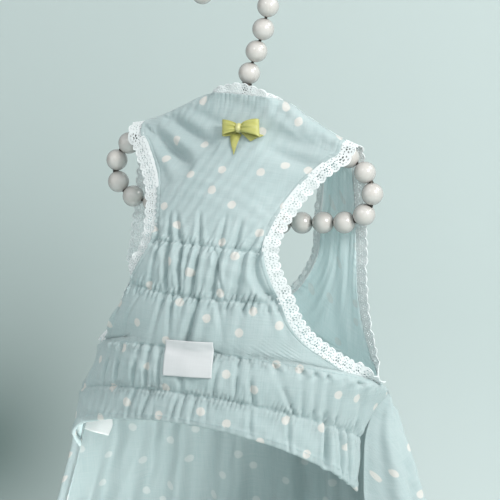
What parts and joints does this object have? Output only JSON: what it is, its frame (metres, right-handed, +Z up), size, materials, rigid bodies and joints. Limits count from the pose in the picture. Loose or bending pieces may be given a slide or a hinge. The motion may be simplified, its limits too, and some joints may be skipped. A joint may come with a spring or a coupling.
{
  "type": "dog dress on beaded hanger",
  "caption": "Sleeveless gathered dog dress with lace edges, a small ribbon bow and an open skirt, hanging on a hanger of pearl beads.",
  "frame": {"origin": "the point where the hook hangs on its rail: the underside of the top of the hook", "axes": "+Z up, -Y the way the dress's chest faces, +X to the dress's right as seen from the front"},
  "size_m": [0.2454, 0.1253, 0.3468],
  "materials": {
    "cotton": "fine pale aqua cotton with small cream dots",
    "lace": "matte white cotton lace",
    "satin": "yellow-green satin ribbon",
    "tape": "white woven label tape",
    "pearl": "glossy imitation pearl on a dark metal wire"
  },
  "bodies": {
    "root": {"chest_panel": "cotton", "back_yoke": "cotton", "skirt": "cotton", "armhole_lace_left": "lace", "armhole_lace_right": "lace", "neck_lace": "lace", "bow_loop_left": "satin", "bow_loop_right": "satin", "bow_tail_left": "satin", "bow_tail_right": "satin", "bow_knot": "satin", "sewn_label": "tape", "care_label": "tape", "bead_hanger": "pearl"}
  },
  "joints": []
}
